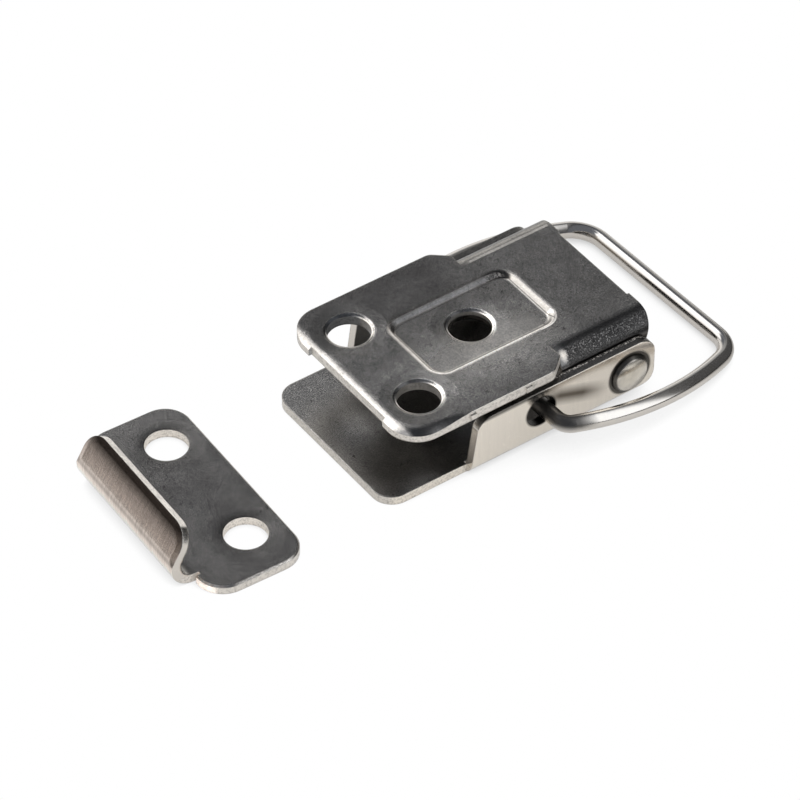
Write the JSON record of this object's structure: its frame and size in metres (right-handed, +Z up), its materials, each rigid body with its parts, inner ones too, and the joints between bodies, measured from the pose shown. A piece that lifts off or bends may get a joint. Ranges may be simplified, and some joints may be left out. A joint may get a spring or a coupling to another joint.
{
  "type": "over centre toggle latch",
  "caption": "Over centre toggle latch folded from sheet metal, with a wire bail hinged on its lever and a separate hooked catch plate.",
  "frame": {"origin": "middle of the latch and its catch plate as they lie, on the surface that they lie on", "axes": "+X along the latch from the catch plate towards the bail's crossbar, +Z up out of the base plate's mounting face, +Y across"},
  "size_m": [0.0658, 0.0308, 0.0088],
  "materials": {
    "base_steel": "bright plated sheet with fine scratches",
    "lever_steel": "bright plated sheet",
    "rivet_steel": "bright plated, formed head",
    "wire_steel": "drawn bright wire",
    "catch_steel": "bright plated sheet, drawn marks on the hook"
  },
  "bodies": {
    "base": {"base_plate": "base_steel", "near_rivet": "rivet_steel", "far_rivet": "rivet_steel", "catch_plate": "catch_steel"},
    "lever": {"lever": "lever_steel"},
    "bail": {"wire_bail": "wire_steel"}
  },
  "joints": [
    {"name": "lever_pivot", "type": "hinge", "parent": "base", "child": "lever", "pos_m": [0.01946, 0.00032, 0.00355], "axis": [0, -1, 0], "range_deg": [0, 160]},
    {"name": "bail_pivot", "type": "hinge", "parent": "lever", "child": "bail", "pos_m": [0.00876, 0.00032, 0.0039], "axis": [0.0354, -0.9994, 0], "range_deg": [-175, 90]}
  ]
}
